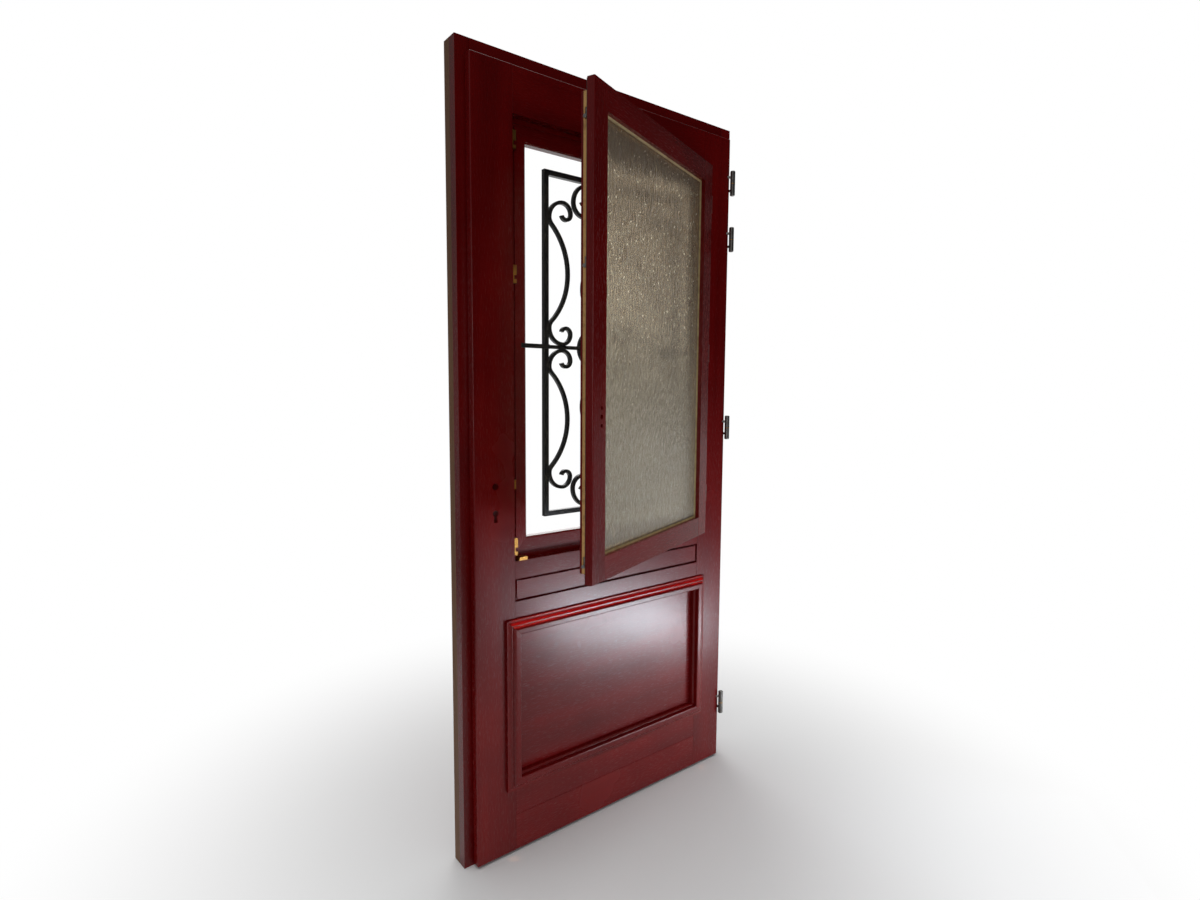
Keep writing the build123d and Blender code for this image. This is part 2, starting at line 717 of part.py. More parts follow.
def mortise_lock():
    lever_x = -body_half + backset
    lever_z = light_bottom + lever_rise
    cylinder_z = lever_z - cylinder_spacing
    case_top = lever_z + 45
    case_y0 = core_middle - lock_case_thickness / 2
    case_y1 = core_middle + lock_case_thickness / 2
    front = -body_half + lock_plate_thickness
    case = block(front, front + lock_case_depth, case_y0, case_y1,
                 case_top - lock_case_height, case_top)
    plate_middle = case_top - lock_case_height / 2
    plate = block(-body_half, front, core_middle - lock_plate_width / 2,
                  core_middle + lock_plate_width / 2,
                  plate_middle - lock_plate_height / 2, plate_middle + lock_plate_height / 2)
    gap = lock_pocket_gap
    pocket = block(front, front + lock_case_depth + gap, case_y0 - gap, case_y1 + gap,
                   case_top - lock_case_height - gap, case_top + gap)
    plate_seat = block(-body_half - 1, front, core_middle - lock_plate_width / 2 - seat_gap,
                       core_middle + lock_plate_width / 2 + seat_gap,
                       plate_middle - lock_plate_height / 2 - seat_gap,
                       plate_middle + lock_plate_height / 2 + seat_gap)
    stile = nodes["lock_stile"] - pocket - plate_seat
    stile -= rod_y(lever_x, leaf_face - 1, leaf_back + 1, lever_z, lever_hole_radius)
    stile -= euro_profile(lever_x, cylinder_z, 0)
    case -= rod_y(lever_x, case_y0 - 1, case_y1 + 1, lever_z, follower_radius + running_gap)
    case -= euro_profile(lever_x, cylinder_z, 0)

    bolts = {
        "latch_bolt": (case_top - 12 - latch_height / 2, latch_height, latch_thickness,
                       latch_length),
        "dead_bolt": (cylinder_z, bolt_height, bolt_thickness, bolt_length),
    }
    # The dead bolt passes clear in front of the cylinder's hole
    strike_wall = -rebate_half
    strike = block(strike_wall - strike_thickness, strike_wall,
                   core_middle - strike_width / 2, core_middle + strike_width / 2,
                   plate_middle - strike_height / 2, plate_middle + strike_height / 2)
    strike_seat = block(strike_wall - strike_thickness, strike_wall + 1,
                        core_middle - strike_width / 2 - seat_gap,
                        core_middle + strike_width / 2 + seat_gap,
                        plate_middle - strike_height / 2 - seat_gap,
                        plate_middle + strike_height / 2 + seat_gap)
    jamb = nodes["lock_jamb"] - strike_seat
    for name, (z, height, thickness, length) in bolts.items():
        bolt = block(-body_half, -body_half + length, core_middle - thickness / 2,
                     core_middle + thickness / 2, z - height / 2, z + height / 2)
        slot = block(-body_half - 1, -body_half + length + 1,
                     core_middle - thickness / 2 - bolt_gap,
                     core_middle + thickness / 2 + bolt_gap,
                     z - height / 2 - bolt_gap, z + height / 2 + bolt_gap)
        case -= slot
        plate -= slot
        hole = block(strike_wall - strike_pocket, strike_wall + 1,
                     core_middle - thickness / 2 - 1, core_middle + thickness / 2 + 1,
                     z - height / 2 - 2, z + height / 2 + 2)
        strike -= hole
        jamb -= hole
        nodes[name] = bolt
    plate_screws = []
    strike_screws = []
    for side in (-1, 1):
        spot = plate_middle + side * (lock_plate_height / 2 - screw_margin)
        point = (-body_half, core_middle, spot)
        plate_screws.append(plate_screw(point, (1, 0, 0), 0))
        plate -= plate_screw(point, (1, 0, 0), seat_gap)
        stile -= plate_screw(point, (1, 0, 0), seat_gap)
        spot = plate_middle + side * (strike_height / 2 - screw_margin)
        point = (strike_wall, core_middle, spot)
        strike_screws.append(plate_screw(point, (-1, 0, 0), 0))
        strike -= plate_screw(point, (-1, 0, 0), seat_gap)
        jamb -= plate_screw(point, (-1, 0, 0), seat_gap)
    nodes["faceplate_screws"] = plate_screws
    nodes["strike_screws"] = strike_screws
    bevel = section_z([(-body_half - 1, core_middle + latch_thickness / 2 + 1),
                       (-body_half + latch_thickness, core_middle + latch_thickness / 2 + 1),
                       (-body_half + latch_thickness, core_middle + latch_thickness / 2),
                       (-body_half, core_middle - latch_thickness / 2 + 1),
                       (-body_half - 1, core_middle - latch_thickness / 2 + 1)],
                      case_top - lock_case_height, case_top)
    nodes["latch_bolt"] -= bevel
    follower = rod_y(lever_x, case_y0, case_y1, lever_z, follower_radius)
    square = block(lever_x - lever_square / 2, lever_x + lever_square / 2, case_y0 - 1,
                   case_y1 + 1, lever_z - lever_square / 2, lever_z + lever_square / 2)
    nodes["lever_follower"] = follower - square
    nodes["lock_case"] = case
    nodes["lock_faceplate"] = plate
    nodes["lock_stile"] = stile
    nodes["lock_jamb"] = jamb
    nodes["strike_plate"] = strike


# Casement drawn closed, then turned about its hinge line
casement_front = leaf_face - casement_lift - casement_lip
casement_lip_back = casement_front + casement_lip
casement_back = casement_front + casement_thickness
cas_body_half = light_half - casement_gap
cas_half = cas_body_half + casement_lap
cas_top = light_top - casement_gap + casement_lap
cas_bottom = light_bottom + casement_gap - casement_lap
cas_body_top = light_top - casement_gap
cas_body_bottom = light_bottom + casement_gap
sight_half = cas_half - casement_face
sight_top = cas_top - casement_face
sight_bottom = cas_bottom + casement_face
glass_y = casement_front + glass_front
core_y = (casement_lip_back + casement_back) / 2
cas_axis_x = cas_half + small_hinge_out
cas_axis_y = leaf_face - small_hinge_forward
cas_axis = Axis((cas_axis_x, cas_axis_y, 0), (0, 0, 1))
turned = {}


def casement_lipped(part):
    """Cut the outer rebate behind the lip and the inner rebate for the glass."""
    far = casement_back + 1
    back = casement_lip_back
    part -= block(-cas_half - 1, cas_half + 1, back, far, cas_body_top, cas_top + 1)
    part -= block(-cas_half - 1, cas_half + 1, back, far, cas_bottom - 1, cas_body_bottom)
    for side in (-1, 1):
        part -= block(side * cas_body_half, side * (cas_half + 1), back, far,
                      cas_bottom - 1, cas_top + 1)
    room = glass_rebate
    part -= block(-sight_half - room, sight_half + room, glass_y, far,
                  sight_bottom - room, sight_top + room)
    return part


def casement_wood():
    far = sight_half + casement_tenon
    y0 = casement_front + (glass_front - casement_tenon_thickness) / 2
    parts = {
        "casement_free_stile": block(-cas_half, -sight_half, casement_front, casement_back,
                                     cas_bottom, cas_top),
        "casement_hinge_stile": block(sight_half, cas_half, casement_front, casement_back,
                                      cas_bottom, cas_top),
        "casement_top_rail": block(-sight_half, sight_half, casement_front, casement_back,
                                   sight_top, cas_top),
        "casement_bottom_rail": block(-sight_half, sight_half, casement_front, casement_back,
                                      cas_bottom, sight_bottom),
    }
    for name in parts:
        parts[name] = casement_lipped(parts[name])
    for rail, z0, z1 in (("casement_top_rail", sight_top, cas_top),
                         ("casement_bottom_rail", cas_bottom, sight_bottom)):
        low, high = z0 + casement_shoulder, z1 - casement_shoulder
        cheek = casement_tenon_thickness
        parts[rail] += block(-far, far, y0, y0 + cheek, low, high)
        cut = block(-far - glue_gap, far + glue_gap, y0 - glue_gap, y0 + cheek + glue_gap,
                    low - glue_gap, high + glue_gap)
        parts["casement_free_stile"] -= cut
        parts["casement_hinge_stile"] -= cut
    for side, name in ((-1, "casement_free_stile"), (1, "casement_hinge_stile")):
        for edge_x, edge_y in ((side * cas_half, casement_front),):
            parts[name] = ease(parts[name], Axis.Z, casement_radius, X=edge_x, Y=edge_y)
    for name in ("casement_top_rail", "casement_bottom_rail"):
        for side in (-sight_half, sight_half):
            parts[name] = arris(parts[name], Axis.Z, joint_bevel, X=side, Y=casement_front)
    turned.update(parts)


def double_glazing():
    half = sight_half + glass_rebate - glass_edge_gap
    z0 = sight_bottom - glass_rebate + glass_edge_gap
    z1 = sight_top + glass_rebate - glass_edge_gap
    inner_back = glass_y + pane_thickness
    outer_front = inner_back + pane_space
    outer_back = outer_front + pane_thickness
    turned["inner_pane"] = block(-half, half, glass_y, inner_back, z0, z1)
    turned["outer_pane"] = block(-half, half, outer_front, outer_back, z0, z1)
    turned["spacer_bar"] = rectangle_ring(2 * half, z1 - z0, spacer_width + glass_rebate,
                                          inner_back, outer_front, (z0 + z1) / 2)
    depth = casement_back - outer_back - bead_gap
    slope = depth / 3
    width = glass_rebate + slope
    section = make_face(Polyline((0, 0), (width, 0), (width, depth - slope),
                                 (width - slope, depth), (0, depth), close=True))
    beads = mitred(section, 2 * (sight_half + glass_rebate), z1 - z0 + 2 * glass_edge_gap,
                   (0, outer_back + bead_gap, (z0 + z1) / 2))
    turned["glazing_beads"] = list(beads.values())
    inset = 2 * casement_seal_inset
    turned["casement_seal"] = rectangle_ring(
        2 * cas_half - inset, cas_top - cas_bottom - inset, casement_seal_width,
        casement_lip_back, leaf_face - seal_gap, (cas_bottom + cas_top) / 2)


def espagnolette():
    """Faceplate, gear case, follower and rod with its cams in the free stile's edge."""
    edge = -cas_body_half
    hub_x = edge + handle_backset
    hub_z = leaf_top - handle_drop
    plate_back = edge + plate_thickness
    rod_back = plate_back + rod_thickness
    z0, z1 = cas_body_bottom, cas_body_top
    end = 10
    plate = block(edge, plate_back, core_y - plate_width / 2, core_y + plate_width / 2, z0, z1)
    case = block(rod_back + seat_gap, edge + plate_thickness + gear_depth,
                 core_y - gear_thickness / 2,
                 core_y + gear_thickness / 2, hub_z - gear_height / 2, hub_z + gear_height / 2)
    case -= rod_y(hub_x, core_y - gear_thickness, core_y + gear_thickness, hub_z,
                  gear_hub_radius + running_gap)
    slider = block(plate_back + seat_gap / 2, rod_back, core_y - rod_width / 2,
                   core_y + rod_width / 2,
                   z0 + end, z1 - end - rod_travel)
    stile = turned["casement_free_stile"]
    stile -= block(edge - 1, plate_back, core_y - plate_width / 2 - seat_gap,
                   core_y + plate_width / 2 + seat_gap, z0 - 1, z1 + 1)
    stile -= block(edge, rod_back + seat_gap, core_y - rod_width / 2 - bolt_gap,
                   core_y + rod_width / 2 + bolt_gap, z0 - 1, z1 + 1)
    stile -= block(edge, edge + plate_thickness + gear_depth + lock_pocket_gap,
                   core_y - gear_thickness / 2 - lock_pocket_gap,
                   core_y + gear_thickness / 2 + lock_pocket_gap,
                   hub_z - gear_height / 2 - lock_pocket_gap,
                   hub_z + gear_height / 2 + lock_pocket_gap)
    holes = ((0, handle_hole_radius), (handle_screw_spacing / 2, handle_screw_radius),
             (-handle_screw_spacing / 2, handle_screw_radius))
    for offset, radius in holes:
        stile -= rod_y(hub_x, casement_front - 1, core_y, hub_z + offset, radius)
    cams = []
    for z in cam_levels:
        start = plate_back + seat_gap / 2
        cams.append(rod((start, core_y, z), (-1, 0, 0), cam_radius,
                        start - edge + cam_reach))
        slot_low, slot_high = z - cam_radius - bolt_gap, z + rod_travel + cam_radius + bolt_gap
        plate -= block(edge - 1, plate_back + 1, core_y - cam_radius - bolt_gap,
                       core_y + cam_radius + bolt_gap, slot_low, slot_high)
    hub = rod_y(hub_x, core_y - gear_thickness / 2, core_y + gear_thickness / 2, hub_z,
                gear_hub_radius)
    hub -= block(hub_x - handle_square / 2, hub_x + handle_square / 2,
                 core_y - gear_thickness, core_y + gear_thickness,
                 hub_z - handle_square / 2, hub_z + handle_square / 2)
    turned["casement_free_stile"] = stile
    turned["espagnolette_plate"] = plate
    turned["gear_case"] = case
    turned["locking_rod"] = slider
    turned["locking_cams"] = cams
    turned["handle_follower"] = hub


def keeps():
    """Keeps on the opening's left side, with a channel for each cam."""
    wall = -light_half
    face = wall + keep_thickness
    made = []
    entry = cam_radius + cam_gap
    cam_end = -cas_body_half - cam_reach
    y0 = core_y - keep_depth / 2
    y1 = core_y + keep_depth / 2
    for z in cam_levels:
        top = z + keep_above
        keep = block(wall, face, y0, y1, top - keep_height, top)
        keep -= block(cam_end - cam_gap, face + 1, core_y - entry, core_y + entry,
                      z - entry, z + rod_travel + entry)
        keep -= block(cam_end - cam_gap, face + 1, y0 - 1, core_y, z - entry, z + entry)
        made.append(keep)
    nodes["casement_keeps"] = made
    z = leaf_top - wedge_drop
    nodes["closing_wedge"] = section_z(
        [(wall, y0), (wall + keep_thickness / 2, y0), (face, core_y), (face, y1), (wall, y1)],
        z - wedge_height / 2, z + wedge_height / 2)
    corner_x = wall + corner_keep_inset
    tall = corner_keep_height
    nodes["corner_keep"] = section_z(
        [(corner_x, y0), (corner_x + corner_keep_width, y0),
         (corner_x + corner_keep_width, y0 + corner_keep_depth),
         (corner_x, y0 + corner_keep_depth)], light_bottom, light_bottom + tall)
    nodes["corner_keep"] = fillet(
        nodes["corner_keep"].edges().filter_by(Axis.Y).group_by(Axis.Z)[-1], tall / 3)


def casement_hinges():
    pins = []
    halves = []
    lip_reach = small_hinge_out + small_stem_depth
    leaf_reach = small_hinge_forward + small_stem_depth
    for z in small_hinge_levels:
        place = Pos(cas_axis_x, cas_axis_y, z)
        lower = hinge_half(small_hinge_radius, small_hinge_half, 0, (0, 1, 0),
                           small_stem_radius, leaf_reach, False)
        lower += rod_z(0, 0, -tiny, small_hinge_half * 0.7, small_pin_radius)
        upper = hinge_half(small_hinge_radius, small_hinge_half,
                           small_pin_radius + running_gap, (-1, 0, 0),
                           small_stem_radius, lip_reach, True)
        pins.append(place * lower)
        halves.append(place * Pos(0, 0, seat_gap * 3) * upper)
        nodes["hinge_stile"] -= place * rod((0, 0, -small_hinge_half / 2), (0, 1, 0),
                                            small_stem_radius + seat_gap,
                                            leaf_reach + seat_gap)
        turned["casement_hinge_stile"] -= place * rod(
            (0, 0, seat_gap * 3 + small_hinge_half / 2), (-1, 0, 0),
            small_stem_radius + seat_gap, lip_reach + seat_gap)
    nodes["casement_hinge_pins"] = pins
    turned["casement_hinge_halves"] = halves


def frame_seal():
    """Seal strip on the frame's stop, all round the leaf body."""
    half = rebate_half - seal_gap
    top = rebate_top - seal_gap
    bottom = threshold_height + seal_gap
    nodes["frame_seal"] = rectangle_ring(2 * half, top - bottom, seal_width,
                                         leaf_back + seal_gap, stop_face,
                                         (top + bottom) / 2)


def fixing_holes():
    """Holes through the hinge jamb, hidden by the leaf, for the screws into the wall."""
    middle_y = (frame_face + stop_face) / 2
    pitch = (frame_height - fixing_high - fixing_low) / (fixing_count - 1)
    for number in range(fixing_count):
        z = fixing_low + number * pitch
        nodes["hinge_jamb"] -= rod((rebate_half - 1, middle_y, z), (1, 0, 0), fixing_radius,
                                   frame_half - rebate_half + 2)


def weather_board():
    """Sloped board that throws water off the bottom of the outer face."""
    low = body_bottom + threshold_height
    high = low + weather_height
    out = leaf_back + weather_depth
    half = rebate_half - stop_lap - weather_side_gap
    board = section_x([(leaf_back, low), (out, low), (out, low + weather_top),
                       (leaf_back + weather_top, high), (leaf_back, high)], -half, half)
    board -= block(-half - 1, half + 1, out - 2 * drip_width, out - drip_width,
                   low - 1, low + drip_depth)
    nodes["weather_board"] = board


frame_pieces()
threshold()
leaf_boards()
panel_grooves()
round_leaf_edges()
panel_mouldings()
stop_frame()
grille()
hinges()
mortise_lock()
casement_wood()
double_glazing()
espagnolette()
keeps()
casement_hinges()
frame_seal()
fixing_holes()
weather_board()

for name, part in turned.items():
    if isinstance(part, list):
        nodes[name] = [piece.rotate(cas_axis, casement_open) for piece in part]
    else:
        nodes[name] = part.rotate(cas_axis, casement_open)

for name, part in nodes.items():
    if isinstance(part, list):
        part = Compound(children=part)
    export_step(part, "parts/%s.step" % name)
print(len(nodes), "nodes")
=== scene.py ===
import math
import bpy
import numpy as np
from mathutils import Matrix, Vector


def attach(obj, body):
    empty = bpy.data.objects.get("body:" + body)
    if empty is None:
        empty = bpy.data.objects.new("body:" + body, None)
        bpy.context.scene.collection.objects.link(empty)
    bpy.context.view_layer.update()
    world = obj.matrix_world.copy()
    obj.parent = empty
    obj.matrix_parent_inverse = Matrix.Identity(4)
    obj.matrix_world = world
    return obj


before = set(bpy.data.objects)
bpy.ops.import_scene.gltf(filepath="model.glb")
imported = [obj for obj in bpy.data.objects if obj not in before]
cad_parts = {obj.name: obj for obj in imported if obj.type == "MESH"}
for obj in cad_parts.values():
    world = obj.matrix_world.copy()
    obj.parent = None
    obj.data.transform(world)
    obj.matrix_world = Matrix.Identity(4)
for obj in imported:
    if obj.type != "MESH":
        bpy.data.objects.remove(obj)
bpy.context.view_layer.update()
print("frame loaded")

# How far the casement stands open, and the line its hinge pins turn about
casementTurn = math.radians(21.1)
casementAxis = Vector((0.368, -0.068, 0.0))


# A socket in a material's nodes, with arithmetic
class Value:
    def __init__(self, tree, socket):
        self.tree, self.socket = tree, socket

    def math(self, operation, *others):
        node = self.tree.nodes.new("ShaderNodeMath")
        node.operation = operation
        for place, value in enumerate((self,) + others):
            if isinstance(value, Value):
                self.tree.links.new(value.socket, node.inputs[place])
            else:
                node.inputs[place].default_value = value
        return Value(self.tree, node.outputs[0])

    def __add__(self, other):
        return self.math("ADD", other)

    def __radd__(self, other):
        return self.math("ADD", other)

    def __sub__(self, other):
        return self.math("SUBTRACT", other)

    def __rsub__(self, other):
        return (self * -1.0) + other

    def __mul__(self, other):
        return self.math("MULTIPLY", other)

    def __truediv__(self, other):
        return self.math("DIVIDE", other)

    def __lt__(self, other):
        return self.math("LESS_THAN", other)

    # 0 below low, 1 above high and an even rise between
    def smooth(self, low, high):
        node = self.tree.nodes.new("ShaderNodeMapRange")
        node.interpolation_type = "SMOOTHSTEP"
        self.tree.links.new(self.socket, node.inputs["Value"])
        node.inputs["From Min"].default_value = low
        node.inputs["From Max"].default_value = high
        return Value(self.tree, node.outputs["Result"])


# One material and the few node kinds it needs
class Shading:
    def __init__(self, name):
        self.material = bpy.data.materials.new(name)
        self.material.use_nodes = True
        self.tree = self.material.node_tree
        self.bsdf = self.tree.nodes["Principled BSDF"]

    def node(self, kind, output, inputs=(), **settings):
        made = self.tree.nodes.new(kind)
        for key, value in settings.items():
            setattr(made, key, value)
        for key, value in dict(inputs).items():
            if isinstance(value, Value):
                self.tree.links.new(value.socket, made.inputs[key])
            else:
                made.inputs[key].default_value = value
        return Value(self.tree, made.outputs[output])

    # Object coordinates, turned back so that a board's grain follows it
    def place(self, turn=0.0):
        where = self.node("ShaderNodeTexCoord", "Object")
        return self.node("ShaderNodeVectorRotate", 0, {"Vector": where, "Angle": -turn},
                         rotation_type="Z_AXIS") if turn else where

    def stretched(self, where, scale):
        return self.node("ShaderNodeVectorMath", 0, {0: where, 1: scale}, operation="MULTIPLY")

    # Noise with its own scale along each axis, in cells per metre
    def noise(self, where, scale, detail=3.0, rough=0.5, distortion=0.0):
        return self.node("ShaderNodeTexNoise", 0, {
            "Vector": self.stretched(where, scale), "Scale": 1.0, "Detail": detail,
            "Roughness": rough, "Distortion": distortion})

    def cells(self, where, scale, output="Distance", **settings):
        return self.node("ShaderNodeTexVoronoi", output, {
            "Vector": self.stretched(where, scale), "Scale": 1.0}, **settings)

    def axis(self, where, letter):
        return self.node("ShaderNodeSeparateXYZ", "XYZ".index(letter), {0: where})

    # Colours along a factor, each stop a position and a linear colour
    def colour(self, factor, *stops):
        made = self.tree.nodes.new("ShaderNodeValToRGB")
        ramp = made.color_ramp
        while len(ramp.elements) < len(stops):
            ramp.elements.new(0.5)
        for element, (position, rgb) in zip(ramp.elements, stops):
            element.position = position
            element.color = (*rgb, 1.0)
        self.tree.links.new(factor.socket, made.inputs["Fac"])
        return Value(self.tree, made.outputs["Color"])

    def mix(self, factor, a, b):
        inputs = {0: factor, 6: a, 7: b}
        inputs = {k: ((*v, 1.0) if isinstance(v, tuple) else v) for k, v in inputs.items()}
        return self.node("ShaderNodeMix", 2, inputs, data_type="RGBA")

    def bump(self, height, distance, strength=1.0, over=None):
        inputs = {"Height": height, "Distance": distance, "Strength": strength}
        if over:
            inputs["Normal"] = over
        return self.node("ShaderNodeBump", 0, inputs)

    def finish(self, **inputs):
        for key, value in inputs.items():
            socket = self.bsdf.inputs[key.replace("_", " ")]
            if isinstance(value, Value):
                self.tree.links.new(value.socket, socket)
            else:
                socket.default_value = value
        return self.material


# Stained and lacquered hardwood; the lock jamb's wall side is left raw
wood = {
    "dark": (0.080, 0.0007, 0.0009),
    "middle": (0.142, 0.0016, 0.0018),
    "light": (0.225, 0.0060, 0.0040),
    "rough": 0.25,
    "raw": (0.23, 0.115, 0.055),
    "rawShade": (0.10, 0.045, 0.022),
    "rawBeyondX": -0.4972,
    "rawEdge": 0.0006,
}


def woodMaterial(name, grain, turn=0.0, shift=0.0, rawBack=False):
    s = Shading(name)
    here = s.place(turn)
    where = s.node("ShaderNodeVectorMath", 0, {0: here, 1: (shift, shift * 0.7, shift * 1.3)})

    def scales(across, along):
        return tuple(along if letter == grain else across for letter in "XYZ")

    bands = s.noise(where, scales(14.0, 0.9), 2.0, 0.5, 0.6)
    fibres = s.noise(where, scales(380.0, 7.0), 4.0, 0.62)
    pores = s.noise(where, scales(900.0, 50.0), 2.0, 0.5).smooth(0.57, 0.70)
    flecks = s.noise(where, scales(90.0, 12.0), 2.0, 0.5).smooth(0.52, 0.8)
    blotch = s.noise(where, (3.1, 3.1, 3.1), 3.0, 0.6)
    tone = bands * 0.42 + fibres * 0.14 + blotch * 0.46 - pores * 0.05 + flecks * 0.01
    colour = s.colour(tone, (0.30, wood["dark"]), (0.55, wood["middle"]), (0.84, wood["light"]))
    rough = wood["rough"] + blotch * 0.08 + pores * 0.05 - 0.03
    peel = s.noise(where, (210.0, 210.0, 210.0), 3.0, 0.6)
    sag = s.noise(where, (9.0, 9.0, 9.0), 1.0, 0.4)
    normal = s.bump(fibres * 0.06 - pores * 0.12, 0.00028, 0.5)
    normal = s.bump(peel * 0.55 + sag * 2.0, 0.0005, 0.22, normal)
    if rawBack:
        x, y = s.axis(here, "X"), s.axis(here, "Y")
        back = y.smooth(-wood["rawEdge"], wood["rawEdge"]) * (x < wood["rawBeyondX"])
        bare = s.colour(fibres * 0.7 + bands * 0.4, (0.3, wood["rawShade"]), (0.75, wood["raw"]))
        colour = s.mix(back, colour, bare)
        rough = rough + back * 0.4
    return s.finish(Base_Color=colour, Roughness=rough, Normal=normal, IOR=1.40)


# Metals: base colour, tarnish, roughness, metallic share and strength of the surface relief
metals = {
    "brass": ((0.62, 0.33, 0.085), (0.20, 0.085, 0.03), 0.32, 1.0, 0.10),
    "dullBrass": ((0.84, 0.50, 0.19), (0.46, 0.25, 0.095), 0.48, 0.8, 0.10),
    "steel": ((0.40, 0.39, 0.37), (0.20, 0.19, 0.18), 0.34, 1.0, 0.10),
    "dark": ((0.030, 0.028, 0.027), (0.016, 0.014, 0.013), 0.50, 1.0, 0.10),
    # Hinge steel is a darker copy of steel: painted shade for the dark surroundings the frame and leaf
    # hinges reflect
    "shadedHingeSteel": ((0.20, 0.19, 0.18), (0.085, 0.080, 0.075), 0.36, 1.0, 0.10),
    "iron": ((0.014, 0.014, 0.016), (0.030, 0.026, 0.024), 0.34, 0.25, 0.9),
    "aluminium": ((0.62, 0.62, 0.63), (0.46, 0.46, 0.47), 0.36, 1.0, 0.12),
    "gold": ((0.78, 0.52, 0.17), (0.50, 0.31, 0.10), 0.32, 1.0, 0.10),
}


def metalMaterial(name, kind):
    base, tarnish, rough, metallic, relief = metals[kind]
    s = Shading(name)
    where = s.place()
    cloud = s.noise(where, (55.0, 55.0, 55.0), 4.0, 0.6)
    specks = s.noise(where, (700.0, 700.0, 700.0), 2.0, 0.5).smooth(0.60, 0.72)
    brushed = s.noise(where, (900.0, 900.0, 40.0), 2.0, 0.5)
    wear = cloud.smooth(0.45, 0.75) * 0.7 + specks * 0.4
    colour = s.mix(wear, base, tarnish)
    return s.finish(Base_Color=colour, Metallic=metallic,
                    Roughness=rough + cloud * 0.16 + brushed * 0.08 - 0.08,
                    Normal=s.bump(cloud * relief * 3.0 + brushed * 0.2, 0.0006, 0.4))


# Rain glass: upright drops pressed into one face; its colour holds a painted view of what lies beyond
# it and painted glints
glass = {
    # dark and pale colours of the painted view through the rain pane
    "paintedViewDark": (0.32, 0.235, 0.155),
    "paintedViewPale": (0.60, 0.565, 0.450),
    "clearTint": (0.90, 0.92, 0.88),
    # colour of the painted glints on the drops
    "paintedGlintColour": (0.98, 0.90, 0.74),
    "clearSmear": (0.86, 0.88, 0.84),
    "dropWide": 120.0,
    "dropTall": 62.0,
    "clear": 0.62,
    "relief": 0.0024,
}


def glassMaterial(name, rain):
    s = Shading(name)
    where = s.place(casementTurn)
    smear = s.noise(where, (7.0, 7.0, 4.0), 3.0, 0.55)
    if rain:
        wobble = s.noise(where, (38.0, 38.0, 12.0), 2.0, 0.5)
        moved = s.node("ShaderNodeVectorMath", 0, {0: where, 1: s.node(
            "ShaderNodeCombineXYZ", 0, {0: wobble * 0.02, 2: wobble * 0.05})})
        drops = s.cells(moved, (glass["dropWide"], 0.0, glass["dropTall"]), feature="SMOOTH_F1")
        small = s.cells(moved, (70.0, 0.0, 52.0))
        runs = s.noise(moved, (130.0, 0.0, 40.0), 4.0, 0.65)
        height = drops * 0.9 + runs * 0.9
        # Painted highlights: small sun-coloured glints on the drops, brighter towards the top of the
        # pane
        high = s.axis(where, "Z").smooth(1.0, 1.6)
        paintedGlint = (1.0 - small).smooth(0.86, 0.92) * (high * 0.7 + 0.3)
        # Painted view: the pane's colour stands in for what is seen through it, paler along the water
        # runs and towards the bottom
        low = 1.0 - s.axis(where, "Z").smooth(0.9, 1.95)
        colour = s.mix(runs.smooth(0.35, 0.70) * 0.42 + low * 0.45, glass["paintedViewDark"],
                       glass["paintedViewPale"])
        colour = s.mix(paintedGlint, colour, glass["paintedGlintColour"])
        s.bsdf.inputs["Transmission Weight"].default_value = glass["clear"]
        return s.finish(Base_Color=colour, Roughness=0.10 + smear * 0.08, IOR=1.50,
                        Normal=s.bump(height, glass["relief"], 0.75))
    colour = s.mix(smear.smooth(0.4, 0.7), glass["clearTint"], glass["clearSmear"])
    return s.finish(Base_Color=colour, Roughness=smear * 0.05 + 0.01, IOR=1.50,
                    Transmission_Weight=1.0,
                    Normal=s.bump(s.noise(where, (4.0, 4.0, 4.0), 1.0, 0.4), 0.001, 0.2))


def plainMaterial(name, base, dirt, rough):
    s = Shading(name)
    where = s.place()
    cloud = s.noise(where, (60.0, 60.0, 60.0), 4.0, 0.6)
    grit = s.noise(where, (900.0, 900.0, 900.0), 2.0, 0.5)
    return s.finish(Base_Color=s.mix(cloud.smooth(0.4, 0.7), base, dirt),
                    Roughness=rough + cloud * 0.15,
                    Normal=s.bump(grit * 0.4 + cloud, 0.0004, 0.4))


# Which CAD piece takes which material
upright = ["lock_jamb", "hinge_jamb", "lock_stile", "hinge_stile", "stop_left", "stop_right",
           "inside_moulding_left", "inside_moulding_right", "outside_moulding_left",
           "outside_moulding_right", "stop_laths"]
level = ["head_jamb", "top_rail", "sill_rail", "strip_panel", "panel_rail", "bottom_rail",
         "kick_board", "lower_panel", "stop_top", "stop_bottom", "inside_moulding_top",
         "inside_moulding_bottom", "outside_moulding_top", "outside_moulding_bottom",
         "weather_board"]
casementUpright = ["casement_free_stile", "casement_hinge_stile"]
casementLevel = ["casement_top_rail", "casement_bottom_rail", "glazing_beads"]
metalNodes = {
    "brass": ["lock_faceplate", "casement_keeps", "closing_wedge", "corner_keep",
              "latch_bolt", "dead_bolt", "hinge_washers"],
    "dullBrass": ["espagnolette_plate"],
    "steel": ["casement_hinge_pins", "casement_hinge_halves", "strike_plate",
              "strike_screws", "faceplate_screws", "locking_rod", "locking_cams"],
    "shadedHingeSteel": ["frame_hinge_halves", "leaf_hinge_halves"],
    "dark": ["lock_case", "gear_case", "handle_follower", "lever_follower"],
    "iron": ["grille", "grille_screws"],
    "aluminium": ["threshold"],
    "gold": ["spacer_bar"],
}


def dress(node, material):
    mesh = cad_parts[node].data
    mesh.materials.clear()
    mesh.materials.append(material)


